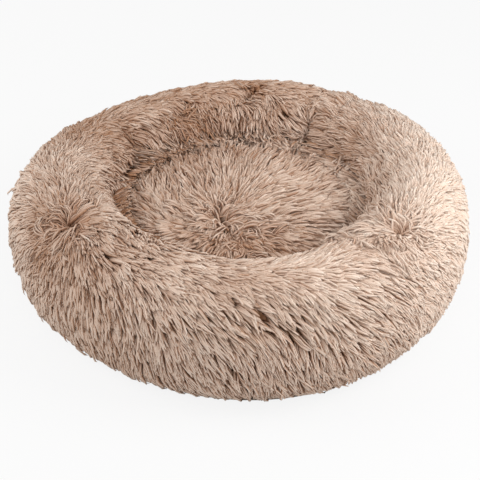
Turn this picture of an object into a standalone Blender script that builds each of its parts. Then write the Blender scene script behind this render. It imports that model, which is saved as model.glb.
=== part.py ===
"""Round plush dog bed: a stuffed ring bolster sewn round a crowned seat cushion on a non-slip base.

Metres, +Z up. The origin is on the floor under the middle of the bed, and the front is -Y.
Every piece is first turned about the upright axis as if the bed were perfectly round. One bend,
hand_stuffed, then takes all of them to the slightly uneven shape that stuffing by hand gives.
"""

from math import atan2, cos, exp, hypot, pi, radians, sin

import bmesh
import bpy
from mathutils import Vector

# Sizes that can be set one by one
RIM_RADIUS = 0.300
RING_HEIGHT = 0.160
RING_BULGE = 0.014
SEAT_RADIUS = 0.178
SEAT_HEIGHT = 0.106
SEAT_SEAM_HEIGHT = 0.050
PILE_DEPTH = 0.014
BASE_RADIUS = 0.264
BASE_THICKNESS = 0.0016
LINING_THICKNESS = 0.0015
TAPE_THICKNESS = 0.0014
BASE_TAPE_WIDTH = 0.016
THREAD_RADIUS = 0.0012
KNOT_RADIUS = 0.0040
KNOT_HEIGHT = 0.0035
TACK_DIMPLE_DEPTH = 0.012
TACK_DIMPLE_RADIUS = 0.035
TACK_DRIFT_LEFT = 0.016
TACK_DRIFT_FRONT = 0.012
WHORL_DEPTH = 0.008
WHORL_RADIUS = 0.035
CREASE_DEPTH = 0.007
CROSS_SEAM_DEPTH = 0.004
CLEARANCE = 0.0003

# The two lengths of the ring's cover meet at these directions, in degrees from +X towards +Y
CROSS_SEAM_AZIMUTHS = (-40.0, 140.0)
CROSS_SEAM_SPREAD = 3.0

# Soft folds across the back of the ring
CREASE_AZIMUTHS = (49.0, 62.0)
CREASE_SPREAD = 4.0

# Whorls of the pile on the crest: direction, and distance from the axis as a share of the rim's
WHORL_AZIMUTHS = (213.0, 322.0)
WHORL_REACH_SHARE = 0.80

# How far the stuffed outline wanders: waves round the ring, size as a share, direction of a peak
RADIUS_WAVE_SHARES = ((2, 0.0116, -78.0), (3, 0.0135, 48.5), (4, 0.0035, 9.7))
HEIGHT_WAVE_SHARES = ((1, 0.0715, -72.4), (2, 0.0486, 17.2), (3, 0.0259, -30.0))

# The ring's outer line has four stretches, from the base seam over the crest to the seat seam.
# Its foot: shares of the way out from the base to the rim, and of the ring's height
RING_FOOT_SHARES = (
    (0.53, 0.089),
    (0.90, 0.260),
    (1.00, 0.475),
)

# Its outer side and crest: shares of the ring's width inward from the rim, and of its height
RING_CREST_SHARES = (
    (0.045, 0.709),
    (0.190, 0.895),
    (0.370, 0.979),
    (0.540, 1.000),
)

# Its inner side: shares of its width, and of its rise over the seat
RING_INSIDE_SHARES = (
    (0.710, 0.918),
    (0.860, 0.690),
    (0.960, 0.400),
    (1.000, 0.106),
)

# Its underside over the seat's shoulder: shares of the bulge, and of the seat's rise over its seam
RING_UNDER_SHARES = (
    (0.80, 0.95),
    (0.30, 0.74),
    (0.00, 0.50),
)

# The seat's outer line from its middle to its side: shares of its radius, and of its rise over
# the seam
SEAT_LINE_SHARES = (
    (0.12, 0.93),
    (0.28, 0.96),
    (0.46, 1.00),
    (0.64, 1.00),
    (0.80, 0.95),
    (0.90, 0.85),
    (0.955, 0.72),
    (0.985, 0.55),
    (1.00, 0.34),
)
SEAT_MIDDLE_RISE_SHARE = 0.92

# Fineness of the turned pieces
RING_STEPS = 72
SEAT_STEPS = 36
THREAD_STEPS = 12
RING_LINE_STEPS = 19
RING_WALL_STEPS = 8
CURVE_PARTS = 8

# Heights and radii that follow
RING_INNER_RADIUS = SEAT_RADIUS - RING_BULGE
RING_WIDTH = RIM_RADIUS - RING_INNER_RADIUS
SEAT_RISE = SEAT_HEIGHT - SEAT_SEAM_HEIGHT
BASE_TOP = BASE_THICKNESS
TAPE_TOP = BASE_TOP + CLEARANCE + TAPE_THICKNESS
COVER_EDGE = TAPE_TOP + CLEARANCE
SEAT_TAPE_TOP = SEAT_SEAM_HEIGHT - CLEARANCE
SEAT_TAPE_BOTTOM = SEAT_TAPE_TOP - TAPE_THICKNESS
LINING_TOP = SEAT_TAPE_BOTTOM - CLEARANCE
SEAT_LINING_BOTTOM = BASE_TOP + CLEARANCE
SEAT_LINING_TOP = SEAT_LINING_BOTTOM + LINING_THICKNESS
THREAD_HOLE_RADIUS = THREAD_RADIUS + CLEARANCE


def wave(azimuth, wave_shares):
    """The sum of the waves at one direction, as a share."""
    return sum(size * cos(count * (azimuth - radians(peak))) for count, size, peak in wave_shares)


def fade(value, start, end):
    """0 before start, 1 past end, and smooth between."""
    share = min(max((value - start) / (end - start), 0.0), 1.0)
    return share * share * (3.0 - 2.0 * share)


def dip(distance, spread):
    """A bell of height 1 that has fallen to nothing at about twice its spread."""
    return exp(-((distance / spread) ** 2))


def turn_between(azimuth, degrees):
    """The angle in degrees, without sign, between a direction and one given in degrees."""
    turn = (azimuth - radians(degrees) + pi) % (2.0 * pi) - pi
    return abs(turn) * 180.0 / pi


def hand_stuffed(point):
    """Where stuffing by hand takes a point of the perfectly round bed."""
    x, y, z = point
    reach, azimuth = hypot(x, y), atan2(y, x)
    on_ring = fade(reach, RING_INNER_RADIUS / 2.0, RING_INNER_RADIUS)
    near_crest = fade(z, SEAT_SEAM_HEIGHT, RING_HEIGHT)
    bend = 1.0 + wave(azimuth, RADIUS_WAVE_SHARES)
    lift = RING_HEIGHT * wave(azimuth, HEIGHT_WAVE_SHARES) * on_ring * near_crest
    folds = sum(CREASE_DEPTH * dip(turn_between(azimuth, at), CREASE_SPREAD) for at in CREASE_AZIMUTHS)
    folds += sum(CROSS_SEAM_DEPTH * dip(turn_between(azimuth, at), CROSS_SEAM_SPREAD)
                 for at in CROSS_SEAM_AZIMUTHS)
    sink = folds * on_ring * near_crest
    for at in WHORL_AZIMUTHS:
        whorl = RIM_RADIUS * WHORL_REACH_SHARE
        off = hypot(x - whorl * cos(radians(at)), y - whorl * sin(radians(at)))
        sink += WHORL_DEPTH * dip(off, WHORL_RADIUS) * near_crest
    sink += TACK_DIMPLE_DEPTH * dip(reach, TACK_DIMPLE_RADIUS) * fade(z, LINING_TOP / 2.0, SEAT_HEIGHT)
    drift = 1.0 - fade(reach, 0.0, RING_INNER_RADIUS)
    return Vector((x * bend - TACK_DRIFT_LEFT * drift, y * bend - TACK_DRIFT_FRONT * drift,
                   z + lift - sink))


def smooth_line(points, steps):
    """A smooth line through the points, cut into equal steps along its length."""
    fine = []
    ends = [2 * points[0] - points[1]] + points + [2 * points[-1] - points[-2]]
    for a, b, c, d in zip(ends, ends[1:], ends[2:], ends[3:]):
        for part in range(CURVE_PARTS):
            t = part / CURVE_PARTS
            curve = (c - a) * t + (2 * a - 5 * b + 4 * c - d) * t * t + (3 * b - a - 3 * c + d) * t ** 3
            fine.append(b + curve / 2)
    fine.append(points[-1])
    lengths = [0.0]
    for p, q in zip(fine, fine[1:]):
        lengths.append(lengths[-1] + (q - p).length)
    line = []
    for step in range(steps + 1):
        want = lengths[-1] * step / steps
        at = max(i for i, length in enumerate(lengths[:-1]) if length <= want)
        share = (want - lengths[at]) / (lengths[at + 1] - lengths[at])
        line.append(fine[at].lerp(fine[at + 1], share))
    return line


def inset_line(points, distance):
    """The line moved to its left by a distance, corner by corner."""
    moved = []
    for i, point in enumerate(points):
        before = (point - points[i - 1]).normalized() if i else None
        after = (points[i + 1] - point).normalized() if i + 1 < len(points) else None
        along = ((before or after) + (after or before)).normalized()
        square = Vector((-along.y, along.x))
        spread = abs(along.dot(after or before))
        moved.append(point + square * distance / spread)
    return moved


def ring_line(steps):
    """The outside of the ring's cover, from the base seam over the crest down to the seat seam."""
    overhang = RIM_RADIUS - BASE_RADIUS
    points = [Vector((BASE_RADIUS - CLEARANCE, COVER_EDGE))]
    points += [Vector((BASE_RADIUS + overhang * out, RING_HEIGHT * up)) for out, up in RING_FOOT_SHARES]
    points += [Vector((RIM_RADIUS - RING_WIDTH * inward, RING_HEIGHT * up))
               for inward, up in RING_CREST_SHARES]
    points += [Vector((RIM_RADIUS - RING_WIDTH * inward, SEAT_HEIGHT + (RING_HEIGHT - SEAT_HEIGHT) * up))
               for inward, up in RING_INSIDE_SHARES]
    points += [Vector((SEAT_RADIUS - RING_BULGE * inward, SEAT_SEAM_HEIGHT + SEAT_RISE * up))
               for inward, up in RING_UNDER_SHARES]
    return smooth_line(points, steps) + [Vector((SEAT_RADIUS, SEAT_SEAM_HEIGHT))]


def ring_inside(distance):
    """The ring's outer line moved into the ring, with its two ends cut level at the seams."""
    line = inset_line(ring_line(RING_WALL_STEPS), distance)
    line[0] = Vector((BASE_RADIUS - CLEARANCE - distance, COVER_EDGE))
    line[-1].y = SEAT_SEAM_HEIGHT
    return line


def seat_line():
    """The outside of the seat cover, from the tack's hole to its seam."""
    side = SEAT_RADIUS - CLEARANCE
    middle = SEAT_SEAM_HEIGHT + SEAT_RISE * SEAT_MIDDLE_RISE_SHARE
    knot_seat = [Vector((THREAD_HOLE_RADIUS, middle)), Vector((KNOT_RADIUS + CLEARANCE, middle))]
    points = [Vector((side * out, SEAT_SEAM_HEIGHT + SEAT_RISE * up)) for out, up in SEAT_LINE_SHARES]
    return knot_seat + points + [Vector((side, SEAT_SEAM_HEIGHT))]


def material(name, colour, roughness):
    """A plain cloth finish of one colour."""
    finish = bpy.data.materials.new(name)
    finish.use_nodes = True
    shader = finish.node_tree.nodes["Principled BSDF"]
    shader.inputs["Base Color"].default_value = (*colour, 1.0)
    shader.inputs["Roughness"].default_value = roughness
    shader.inputs["Metallic"].default_value = 0.0
    finish.diffuse_color = (*colour, 1.0)
    return finish


def turned(name, outline, finish, steps, start=0.0, angle=2.0 * pi):
    """A closed outline of (radius, height) points, turned about the axis and then bent to shape."""
    mesh = bpy.data.meshes.new(name)
    edges = [(i, (i + 1) % len(outline)) for i in range(len(outline))]
    mesh.from_pydata([(p.x, 0.0, p.y) for p in outline], edges, [])
    piece = bpy.data.objects.new(name, mesh)
    BED.objects.link(piece)
    piece.rotation_euler.z = start
    screw = piece.modifiers.new("Turn", "SCREW")
    screw.axis = "Z"
    screw.angle = angle
    screw.steps = steps
    screw.render_steps = steps
    screw.use_merge_vertices = True
    screw.merge_threshold = CLEARANCE / 10.0
    bpy.context.view_layer.update()
    graph = bpy.context.evaluated_depsgraph_get()
    solid = bpy.data.meshes.new_from_object(piece.evaluated_get(graph))
    piece.modifiers.clear()
    solid.transform(piece.matrix_world)
    piece.rotation_euler.z = 0.0
    close_and_bend(solid)
    piece.data = solid
    bpy.data.meshes.remove(mesh)
    solid.name = name
    solid.materials.append(finish)
    return piece


def close_and_bend(mesh):
    """Fill the two ends of a part turn, point the faces out, and bend the solid to shape."""
    work = bmesh.new()
    work.from_mesh(mesh)
    rims = [edge for edge in work.edges if edge.is_boundary]
    if rims:
        bmesh.ops.edgeloop_fill(work, edges=rims)
    bmesh.ops.recalc_face_normals(work, faces=work.faces)
    for vertex in work.verts:
        vertex.co = hand_stuffed(vertex.co)
    bmesh.ops.triangulate(work, faces=work.faces)
    work.to_mesh(mesh)
    work.free()
    mesh.shade_smooth()
    mesh.set_sharp_from_angle(angle=radians(50.0))


def block(low_radius, high_radius, low, high):
    """The outline of a flat ring."""
    return [Vector((low_radius, low)), Vector((high_radius, low)),
            Vector((high_radius, high)), Vector((low_radius, high))]


def build_ring_covers():
    """Two lengths of long-pile plush, joined end to end by seams across the ring."""
    outside = ring_line(RING_LINE_STEPS)
    inside = ring_inside(PILE_DEPTH)
    half_gap = CLEARANCE / SEAT_RADIUS / 2.0
    for name, start in zip(("bolster_cover_back", "bolster_cover_front"), CROSS_SEAM_AZIMUTHS):
        plush = material(name, PLUSH_COLOUR, PLUSH_ROUGHNESS)
        turned(name, outside + inside[::-1], plush, RING_STEPS // 2,
               radians(start) + half_gap, pi - 2.0 * half_gap)


def build_ring_fill():
    """Loose fibre that fills the ring between its cover, the lining band and the base."""
    crown = ring_inside(PILE_DEPTH + CLEARANCE)
    band = SEAT_RADIUS + LINING_THICKNESS / 2.0 + CLEARANCE
    foot = [Vector((crown[-1].x, LINING_TOP)), Vector((band, LINING_TOP)), Vector((band, COVER_EDGE))]
    turned("bolster_fill", crown + foot, material("bolster_fill", FIBRE_COLOUR, FIBRE_ROUGHNESS),
           RING_STEPS, radians(CROSS_SEAM_AZIMUTHS[0]))


def build_lining():
    """The upright cloth band that keeps the ring's fibre apart from the seat's."""
    band = block(SEAT_RADIUS - LINING_THICKNESS / 2.0, SEAT_RADIUS + LINING_THICKNESS / 2.0,
                 SEAT_LINING_BOTTOM, LINING_TOP)
    turned("bolster_lining", band, material("bolster_lining", LINING_COLOUR, LINING_ROUGHNESS),
           RING_STEPS, radians(CROSS_SEAM_AZIMUTHS[0]))


def build_seat():
    """The seat: a plush disc over a fibre pad, closed below by a lining disc."""
    outside = seat_line()
    inside = inset_line(outside, -PILE_DEPTH)
    inside[0].x = THREAD_HOLE_RADIUS
    inside[-1].y = SEAT_SEAM_HEIGHT
    plush = material("seat_cover", PLUSH_COLOUR, PLUSH_ROUGHNESS)
    start = radians(CROSS_SEAM_AZIMUTHS[0])
    turned("seat_cover", outside + inside[::-1], plush, SEAT_STEPS, start)
    crown = inset_line(outside, -PILE_DEPTH - CLEARANCE)
    crown[0].x = THREAD_HOLE_RADIUS
    crown[-1].y = SEAT_SEAM_HEIGHT
    side = SEAT_RADIUS - LINING_THICKNESS / 2.0 - CLEARANCE
    bottom = SEAT_LINING_TOP + CLEARANCE
    foot = [Vector((crown[-1].x, LINING_TOP)), Vector((side, LINING_TOP)),
            Vector((side, bottom)), Vector((THREAD_HOLE_RADIUS, bottom))]
    turned("seat_fill", crown + foot, material("seat_fill", FIBRE_COLOUR, FIBRE_ROUGHNESS),
           SEAT_STEPS, start)
    disc = [Vector((0.0, SEAT_LINING_BOTTOM)), Vector((side, SEAT_LINING_BOTTOM)),
            Vector((side, SEAT_LINING_TOP)), Vector((0.0, SEAT_LINING_TOP))]
    turned("seat_lining", disc, material("seat_lining", LINING_COLOUR, LINING_ROUGHNESS),
           SEAT_STEPS, start)


def build_tapes():
    """Woven tapes over the two seams that run right round: seat to ring, and ring to base."""
    seat_tape = block(SEAT_RADIUS - PILE_DEPTH, SEAT_RADIUS + PILE_DEPTH, SEAT_TAPE_BOTTOM, SEAT_TAPE_TOP)
    start = radians(CROSS_SEAM_AZIMUTHS[0])
    turned("seat_seam_tape", seat_tape, material("seat_seam_tape", TAPE_COLOUR, LINING_ROUGHNESS),
           RING_STEPS, start)
    base_tape = block(BASE_RADIUS - BASE_TAPE_WIDTH, BASE_RADIUS, BASE_TOP + CLEARANCE, TAPE_TOP)
    turned("base_seam_tape", base_tape, material("base_seam_tape", TAPE_COLOUR, LINING_ROUGHNESS),
           RING_STEPS, start)


def build_base():
    """The round of non-slip cloth that the bed stands on."""
    disc = [Vector((0.0, 0.0)), Vector((BASE_RADIUS, 0.0)),
            Vector((BASE_RADIUS, BASE_TOP)), Vector((0.0, BASE_TOP))]
    turned("base_cloth", disc, material("base_cloth", BASE_COLOUR, BASE_ROUGHNESS),
           RING_STEPS, radians(CROSS_SEAM_AZIMUTHS[0]))


def build_tack():
    """The thread that draws the middle of the seat down, with its knot on top of the cover."""
    top = seat_line()[0].y + CLEARANCE
    bottom = SEAT_LINING_TOP + CLEARANCE
    outline = [Vector((0.0, bottom)), Vector((THREAD_RADIUS, bottom)), Vector((THREAD_RADIUS, top)),
               Vector((KNOT_RADIUS, top)), Vector((KNOT_RADIUS, top + KNOT_HEIGHT / 2.0)),
               Vector((KNOT_RADIUS / 2.0, top + KNOT_HEIGHT)), Vector((0.0, top + KNOT_HEIGHT))]
    turned("seat_tack", outline, material("seat_tack", TAPE_COLOUR, LINING_ROUGHNESS), THREAD_STEPS)


def centre_on_footprint():
    """Bring the middle of the whole bed over the origin, once its outline has wandered."""
    points = [vertex.co for piece in BED.objects for vertex in piece.data.vertices]
    middle_x = (min(p.x for p in points) + max(p.x for p in points)) / 2.0
    middle_y = (min(p.y for p in points) + max(p.y for p in points)) / 2.0
    for piece in BED.objects:
        for vertex in piece.data.vertices:
            vertex.co.x -= middle_x
            vertex.co.y -= middle_y


# Finishes, as the photograph shows them or as such cloth usually is
PLUSH_COLOUR = (0.52, 0.38, 0.28)
PLUSH_ROUGHNESS = 0.9
FIBRE_COLOUR = (0.85, 0.85, 0.83)
FIBRE_ROUGHNESS = 0.95
LINING_COLOUR = (0.75, 0.73, 0.70)
LINING_ROUGHNESS = 0.85
TAPE_COLOUR = (0.42, 0.32, 0.25)
BASE_COLOUR = (0.30, 0.25, 0.21)
BASE_ROUGHNESS = 0.7

for old in list(bpy.data.objects):
    bpy.data.objects.remove(old, do_unlink=True)

BED = bpy.data.collections.new("dog_bed")
bpy.context.scene.collection.children.link(BED)

build_ring_covers()
build_ring_fill()
build_lining()
build_seat()
build_tapes()
build_base()
build_tack()
centre_on_footprint()
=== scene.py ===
"""The round plush dog bed, dressed: stuffed cushions, long shaggy pile, seams and a non-slip base."""

from collections import namedtuple
from math import cos, pi, radians, sin

import bmesh
import bpy
import numpy as np
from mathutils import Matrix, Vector
from mathutils.bvhtree import BVHTree
from mathutils.kdtree import KDTree


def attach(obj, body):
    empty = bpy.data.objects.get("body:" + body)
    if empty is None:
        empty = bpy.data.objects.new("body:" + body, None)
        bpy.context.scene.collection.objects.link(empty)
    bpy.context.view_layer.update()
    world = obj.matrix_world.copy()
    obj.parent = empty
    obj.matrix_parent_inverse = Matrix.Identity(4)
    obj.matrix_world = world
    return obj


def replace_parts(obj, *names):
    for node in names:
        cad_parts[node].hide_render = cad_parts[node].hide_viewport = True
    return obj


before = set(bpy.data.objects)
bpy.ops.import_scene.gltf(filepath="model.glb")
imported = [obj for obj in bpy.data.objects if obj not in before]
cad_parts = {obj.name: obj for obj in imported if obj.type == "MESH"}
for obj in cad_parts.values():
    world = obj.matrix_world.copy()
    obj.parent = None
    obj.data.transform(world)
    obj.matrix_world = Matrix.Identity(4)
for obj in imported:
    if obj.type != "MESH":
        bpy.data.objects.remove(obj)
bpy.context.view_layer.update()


# Stuffed cushions
# The ring and the seat are plush bags blown tight with loose fibre. Each starts from its CAD fibre
# body, is inflated as cloth while its seams hold it, and is the brown backing under the long pile.
WELD = 1e-5
VOXEL = 0.005
CLOTH_FRAMES = 20
PRESSURE = 4.0
SWELL_LIMIT = 0.004
UNDERWOOL = 0.0028
SEAM_HEIGHT = 0.050
WOOL_START = 0.012
BACKING_DARK = (0.26, 0.125, 0.062, 1.0)
BACKING_LIGHT = (0.40, 0.215, 0.122, 1.0)


def new_look(name, roughness):
    """A new material, with its nodes, its links and its shader."""
    look = bpy.data.materials.new(name)
    look.use_nodes = True
    nodes = look.node_tree.nodes
    shader = nodes["Principled BSDF"]
    shader.inputs["Roughness"].default_value = roughness
    return look, nodes, look.node_tree.links, shader


def mottling(nodes, links, scale, detail):
    """A noise texture over the piece's own coordinates."""
    place = nodes.new("ShaderNodeTexCoord")
    texture = nodes.new("ShaderNodeTexNoise")
    texture.inputs["Scale"].default_value = scale
    texture.inputs["Detail"].default_value = detail
    links.new(place.outputs["Object"], texture.inputs["Vector"])
    return texture


def ramp(nodes, *stops):
    """A colour ramp through its stops, each a position and a colour."""
    node = nodes.new("ShaderNodeValToRGB")
    elements = node.color_ramp.elements
    elements[0].position, elements[0].color = stops[0]
    elements[1].position, elements[1].color = stops[-1]
    for position, colour in stops[1:-1]:
        elements.new(position).color = colour
    return node


def raise_relief(nodes, links, height, strength, distance, shader):
    """Gives a shader fine relief from a height."""
    relief = nodes.new("ShaderNodeBump")
    relief.inputs["Strength"].default_value = strength
    relief.inputs["Distance"].default_value = distance
    links.new(height, relief.inputs["Height"])
    links.new(relief.outputs["Normal"], shader.inputs["Normal"])


def backing_material():
    """Brown woven backing with a little short underwool, seen only between the locks."""
    look, nodes, links, shader = new_look("plush_backing", 0.95)
    shader.inputs["Specular IOR Level"].default_value = 0.02
    wool = mottling(nodes, links, 260.0, 6.0)
    tone = ramp(nodes, (0.35, BACKING_DARK), (0.70, BACKING_LIGHT))
    links.new(wool.outputs["Fac"], tone.inputs["Fac"])
    links.new(tone.outputs["Color"], shader.inputs["Base Color"])
    raise_relief(nodes, links, wool.outputs["Fac"], 0.8, 0.001, shader)
    return look


def welded_copy(node):
    """A copy of a CAD node's mesh, with its loose triangles joined."""
    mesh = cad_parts[node].data.copy()
    work = bmesh.new()
    work.from_mesh(mesh)
    bmesh.ops.remove_doubles(work, verts=work.verts, dist=WELD)
    work.to_mesh(mesh)
    work.free()
    return mesh


def stuffed(name, source):
    """A cushion swollen from a CAD body: remeshed, inflated with its seams held, and calmed."""
    cushion = bpy.data.objects.new(name, welded_copy(source))
    bpy.context.scene.collection.objects.link(cushion)
    bpy.ops.object.select_all(action="DESELECT")
    cushion.select_set(True)
    bpy.context.view_layer.objects.active = cushion
    remesh = cushion.modifiers.new("Even cloth", "REMESH")
    remesh.mode = "VOXEL"
    remesh.voxel_size = VOXEL
    bpy.ops.object.modifier_apply(modifier=remesh.name)
    before = np.array([vertex.co for vertex in cushion.data.vertices])
    seams = cushion.vertex_groups.new(name="seams")
    seams.add([i for i, co in enumerate(before) if co[2] < SEAM_HEIGHT], 1.0, "REPLACE")
    cloth = cushion.modifiers.new("Stuffing", "CLOTH")
    cloth.settings.vertex_group_mass = "seams"
    cloth.settings.use_pressure = True
    cloth.settings.uniform_pressure_force = PRESSURE
    cloth.settings.effector_weights.gravity = 0.0
    cloth.point_cache.frame_start = 1
    cloth.point_cache.frame_end = CLOTH_FRAMES
    for moment in range(1, CLOTH_FRAMES + 1):
        bpy.context.scene.frame_set(moment)
    bpy.ops.object.modifier_apply(modifier=cloth.name)
    cushion.vertex_groups.clear()
    bpy.context.scene.frame_set(1)
    after = np.array([vertex.co for vertex in cushion.data.vertices])
    moved = after - before
    far = np.linalg.norm(moved, axis=1, keepdims=True)
    after = before + moved * np.minimum(1.0, SWELL_LIMIT / np.maximum(far, 1e-9))
    normals = np.array([vertex.normal for vertex in cushion.data.vertices])
    after += UNDERWOOL * normals * (before[:, 2:3] > WOOL_START)
    cushion.data.vertices.foreach_set("co", after.ravel())
    cushion.data.materials.clear()
    cushion.data.materials.append(BACKING)
    cushion.data.shade_smooth()
    cushion.data.update()
    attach(cushion, "root")
    return cushion


BACKING = backing_material()
ring_cushion = stuffed("ring_cushion", "bolster_fill")
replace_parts(ring_cushion, "bolster_cover_front", "bolster_cover_back", "bolster_fill")
seat_cushion = stuffed("seat_cushion", "seat_fill")
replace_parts(seat_cushion, "seat_cover", "seat_fill")


# Long pile
# The plush carries locks of long fibre, a few millimetres wide and about 30 long. They leave the
# backing steeply, then lie over along the nap, which starts from a whorl on each side of the ring
# and from the tack in the seat. One lock is modelled, and then laid along the nap, lock by lock.
LOCK_SIDES = 3
LOCK_CUTS = (0.22, 0.54, 0.87)
LOCK_WIDTHS = (0.75, 1.00, 0.96, 0.74, 0.0)
Lock = namedtuple("Lock", "corners loops starts levels")
Plush = namedtuple("Plush", "cushion keep nap mess flat spill tone")


def model_lock(cuts, widths):
    """One straight three-sided lock along Z from 0 to 1, as its corners, loops, faces and levels."""
    bpy.ops.object.select_all(action="DESELECT")
    bpy.ops.mesh.primitive_cone_add(vertices=LOCK_SIDES, radius1=1.0, radius2=0.0, depth=1.0,
                                    location=(0.0, 0.0, 0.5))
    lock = bpy.context.object
    bpy.ops.object.transform_apply(location=True)
    bpy.ops.object.mode_set(mode="EDIT")
    for height in cuts:
        bpy.ops.mesh.select_all(action="SELECT")
        bpy.ops.mesh.bisect(plane_co=(0.0, 0.0, height), plane_no=(0.0, 0.0, 1.0))
    bpy.ops.object.mode_set(mode="OBJECT")
    levels = np.array((0.0, *cuts, 1.0))
    for vertex in lock.data.vertices:
        level = int(np.abs(levels - vertex.co.z).argmin())
        flat = Vector((vertex.co.x, vertex.co.y, 0.0)).normalized() * widths[level]
        vertex.co = (flat.x, flat.y, levels[level])
    lock.data.update()
    corners = np.array([vertex.co for vertex in lock.data.vertices])
    # A line's side, top and way are left-handed, so the faces are turned round here to point outwards
    loops = np.array([corner for face in lock.data.polygons
                      for corner in (face.vertices[0], *reversed(face.vertices[1:]))])
    starts = np.array([face.loop_start for face in lock.data.polygons])
    bpy.data.objects.remove(lock, do_unlink=True)
    return Lock(corners, loops, starts, levels)


# The way of the pile on the ring. A place over the ring is a length from its crest, outwards.
CREST_REACH = 0.227
SECTION_RADIUS = 0.072
# Whorls: direction round the bed, place over the ring
LEFT_WHORL = (214.5, 0.028)
RIGHT_WHORL = (322.0, 0.016)
WHORL_REACH = 0.038
WHORL_SPREAD = 0.026
# Creases drawn into the back of the ring: direction, place over the ring, width, length, depth
BACK_CREASES = ((87.0, -0.012, 0.013, 0.024, 0.021), (58.5, -0.080, 0.011, 0.042, 0.024),
                (141.0, -0.065, 0.015, 0.050, 0.021), (113.0, -0.035, 0.013, 0.018, 0.011))
FULL_CREASE = 0.015
# Tangles at the back: direction, size along the ring, place out from the crest, size across, how much
BACK_TANGLES = ((112.0, 0.060, -0.033, 0.030, 0.95), (160.0, 0.045, 0.004, 0.036, 0.50))
TANGLE_BOTTOM = (0.09, 0.13)
# How the ring's pile is combed: a direction round the bed, then the lie of the pile at five tilts of
# the cloth from inside to outside. 0 lies counterclockwise round the bed, 90 outwards, 270 inwards.
COMB_TILTS = (-60.0, -20.0, 0.0, 20.0, 80.0)
COMB = ((0, 344, 357, 9, 10, 62), (30, 345, 2, 9, 10, 62), (52, 335, 15, 15, 20, 70),
        (68, 195, 205, 193, 180, 110), (90, 270, 262, 196, 190, 115), (115, 255, 252, 190, 180, 115),
        (140, 260, 235, 197, 190, 115), (155, 242, 207, 181, 172, 115), (180, 240, 218, 178, 168, 110),
        (203, 262, 205, 190, 180, 100), (222, 35, 20, 8, 29, 88), (240, 15, 24, 10, 18, 76),
        (258, 350, 8, 10, 26, 68), (280, 325, 355, 12, 29, 62), (300, 305, 345, 8, 30, 58),
        (314, 225, 200, 150, 50, 60), (330, 325, 332, 342, 12, 56))
RING_SWERVE = 0.18
RING_SWERVE_SIZE = 0.09


def smooth_noise(points, seed, size, waves=7):
    """Soft noise from -1 to 1 over space, with hills about one size apart."""
    rng = np.random.default_rng(seed)
    total = np.zeros(len(points))
    for _ in range(waves):
        turn = rng.normal(size=3)
        turn *= 2.0 * pi / (size * rng.uniform(0.7, 1.5)) / np.linalg.norm(turn)
        total += np.sin(points @ turn + rng.uniform(0.0, 2.0 * pi))
    return total / np.sqrt(waves * 0.5) / 1.6


def unit(vectors):
    """The vectors at length one."""
    return vectors / np.maximum(np.linalg.norm(vectors, axis=1, keepdims=True), 1e-9)


def step(value, start, end):
    """0 before start, 1 past end, smooth between."""
    share = np.clip((value - start) / (end - start), 0.0, 1.0)
    return share * share * (3.0 - 2.0 * share)


def reach_of(points):
    """How far each point is from the bed's middle line."""
    return np.hypot(points[..., 0], points[..., 1])


def azimuth_of(points):
    """Each point's direction round the bed, in radians."""
    return np.arctan2(points[..., 1], points[..., 0])


def turn_from(azimuth, degrees):
    """Signed angle in radians from a direction in degrees, between -pi and pi."""
    return (azimuth - radians(degrees) + pi) % (2.0 * pi) - pi


def creased(points, normals):
    """How deep the back's creases are at each point of the ring."""
    azimuth = azimuth_of(points)
    outward = normals[:, 0] * np.cos(azimuth) + normals[:, 1] * np.sin(azimuth)
    over = SECTION_RADIUS * np.arctan2(outward, normals[:, 2])
    depth = np.zeros(len(points))
    for degrees, place, width, length, deep in BACK_CREASES:
        along = CREST_REACH * turn_from(azimuth, degrees)
        depth += deep * np.exp(-(along / width) ** 2 - ((over - place) / length) ** 4)
    return depth


def creased_share(points, normals):
    """How far down a crease each point of the ring lies, from 0 to 1."""
    return (creased(points, normals) / FULL_CREASE).clip(0.0, 1.0)


def draw_in(cushion):
    """Pulls the ring's cloth in along the creases."""
    places = np.array([vertex.co for vertex in cushion.data.vertices])
    normals = np.array([vertex.normal for vertex in cushion.data.vertices])
    places -= normals * creased(places, normals)[:, None]
    cushion.data.vertices.foreach_set("co", places.ravel())
    cushion.data.update()


def combed(bearing, tilt):
    """The comb's lie along and across the ring, for directions round it and tilts in degrees."""
    table = np.array(COMB, dtype=float)
    lie = np.radians(table[:, 1:])
    place = np.interp(tilt, COMB_TILTS, np.arange(len(COMB_TILTS)))
    low = place.astype(int).clip(0, len(COMB_TILTS) - 2)
    share = (place - low)[:, None]
    each = np.arange(len(low))
    parts = []
    for part in (np.cos(lie), np.sin(lie)):
        columns = [np.interp(bearing, table[:, 0], column, period=360.0) for column in part.T]
        columns = np.stack(columns, 1)
        below = columns[each, low][:, None]
        above = columns[each, low + 1][:, None]
        parts.append(below * (1.0 - share) + above * share)
    return parts


def ring_nap(points, normals):
    """Which way the pile lies on the ring: as it is combed, and away from a whorl close to it."""
    azimuth = azimuth_of(points)
    zero = np.zeros(len(points))
    around = np.stack([-np.sin(azimuth), np.cos(azimuth), zero], 1)
    outward = np.stack([np.cos(azimuth), np.sin(azimuth), zero], 1)
    across = np.cross(around, normals)
    tilt = np.arctan2((normals * outward).sum(1), normals[:, 2])
    along, over = combed(np.degrees(azimuth), np.degrees(tilt))
    flow = along * around + over * across
    for degrees, place in (LEFT_WHORL, RIGHT_WHORL):
        away = (CREST_REACH * turn_from(azimuth, degrees))[:, None]
        side = (SECTION_RADIUS * tilt - place)[:, None]
        reach = np.hypot(away, side)
        near = np.exp(-(reach / WHORL_REACH) ** 2)
        flow = flow * (1.0 - near) + near * (away * around + side * across) / (reach + 1e-6)
    flow = unit(flow)
    swerve = RING_SWERVE * smooth_noise(points, 11, RING_SWERVE_SIZE)[:, None]
    return unit(flow + swerve * np.cross(normals, flow))


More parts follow.
